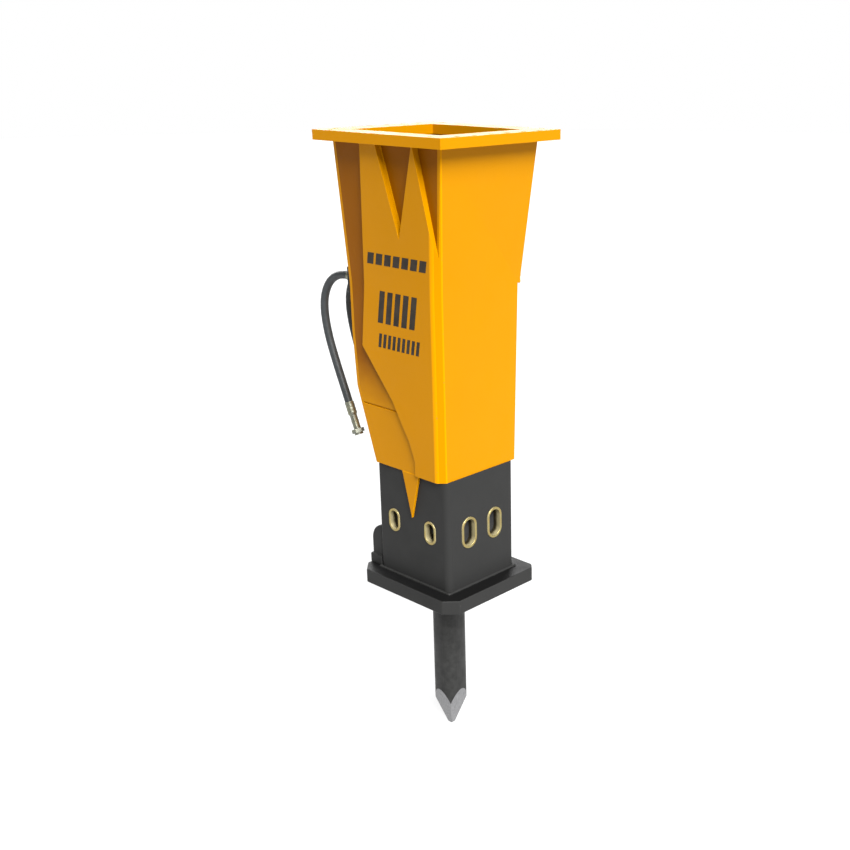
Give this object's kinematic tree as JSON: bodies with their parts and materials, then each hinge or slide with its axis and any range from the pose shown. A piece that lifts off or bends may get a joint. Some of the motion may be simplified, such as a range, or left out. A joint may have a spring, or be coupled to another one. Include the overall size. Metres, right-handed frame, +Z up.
{
  "type": "hydraulic breaker hammer",
  "caption": "Box-housed hydraulic breaker hammer with a bolt-on top flange, flared yellow housing, dark lower housing, whip hoses and a sliding pyramid-point chisel.",
  "frame": {"origin": "centre of the top flange's upper face, on the chisel's axis", "axes": "+Z up the chisel's axis towards the carrier bracket, -Y towards the front with the raised cover, -X towards the hoses"},
  "size_m": [1.104, 0.732, 2.99],
  "materials": {
    "housing_paint": "gloss yellow paint, chipped at the edges",
    "dark_paint": "satin charcoal paint, scuffed",
    "tool_steel": "dark hardened steel with a ground point",
    "pin_steel": "ground hardened steel",
    "machined_steel": "machined alloy steel",
    "fastener_steel": "zinc-plated",
    "bush_steel": "yellow passivated zinc",
    "bronze": "bearing bronze",
    "rubber": "black nitrile rubber",
    "urethane": "amber polyurethane",
    "hose_rubber": "black wrapped hose cover",
    "fitting_steel": "olive zinc-nickel plating"
  },
  "bodies": {
    "housing": {"top_flange": "housing_paint", "front_plate": "housing_paint", "rear_plate": "housing_paint", "right_plate": "housing_paint", "left_plate": "housing_paint", "front_cover": "housing_paint", "rear_cover": "housing_paint", "lower_housing": "dark_paint", "rock_claw": "dark_paint", "wear_plate": "dark_paint", "hose_hatch": "dark_paint", "damper_plate": "dark_paint", "lock_pins": "tool_steel", "front_retaining_pin": "pin_steel", "rear_retaining_pin": "pin_steel", "bushing_pins": "pin_steel", "front_head": "machined_steel", "cylinder": "machined_steel", "back_head": "machined_steel", "valve_block": "machined_steel", "valve_cover": "machined_steel", "accumulator_base": "machined_steel", "accumulator_cover": "machined_steel", "pressure_pipe": "machined_steel", "return_pipe": "machined_steel", "tie_rods": "fastener_steel", "tie_rod_nuts": "fastener_steel", "valve_cover_bolts": "fastener_steel", "accumulator_bolts": "fastener_steel", "hatch_bolts": "fastener_steel", "gas_valve_cap": "fastener_steel", "grease_nipple": "fastener_steel", "pin_hole_bushes": "bush_steel", "lock_port_bushes": "bush_steel", "seal_carrier": "bronze", "upper_bushing": "bronze", "lower_bushing": "bronze", "gas_valve": "bronze", "pin_plugs": "rubber", "upper_seals": "rubber", "lower_seals": "rubber", "head_seals": "rubber", "dust_seal": "rubber", "accumulator_diaphragm": "rubber", "upper_damper": "urethane", "lower_damper": "urethane", "upper_side_pads": "urethane", "lower_side_pads": "urethane", "pressure_hose": "hose_rubber", "return_hose": "hose_rubber", "hose_adapters": "fitting_steel", "hose_ferrules": "fitting_steel", "pressure_hose_tail": "fitting_steel", "return_hose_tail": "fitting_steel", "pressure_hose_nut": "fitting_steel", "return_hose_nut": "fitting_steel"},
    "chisel": {"chisel": "tool_steel"},
    "piston": {"piston": "pin_steel"},
    "spool": {"valve_spool": "pin_steel"}
  },
  "joints": [
    {"name": "chisel_slide", "type": "slide", "parent": "housing", "child": "chisel", "axis": [0, 0, 1], "range_m": [0, 0.07]},
    {"name": "piston_slide", "type": "slide", "parent": "housing", "child": "piston", "axis": [0, 0, 1], "range_m": [0, 0.12]},
    {"name": "spool_slide", "type": "slide", "parent": "housing", "child": "spool", "axis": [0, 0, 1], "range_m": [0, 0.035]}
  ]
}
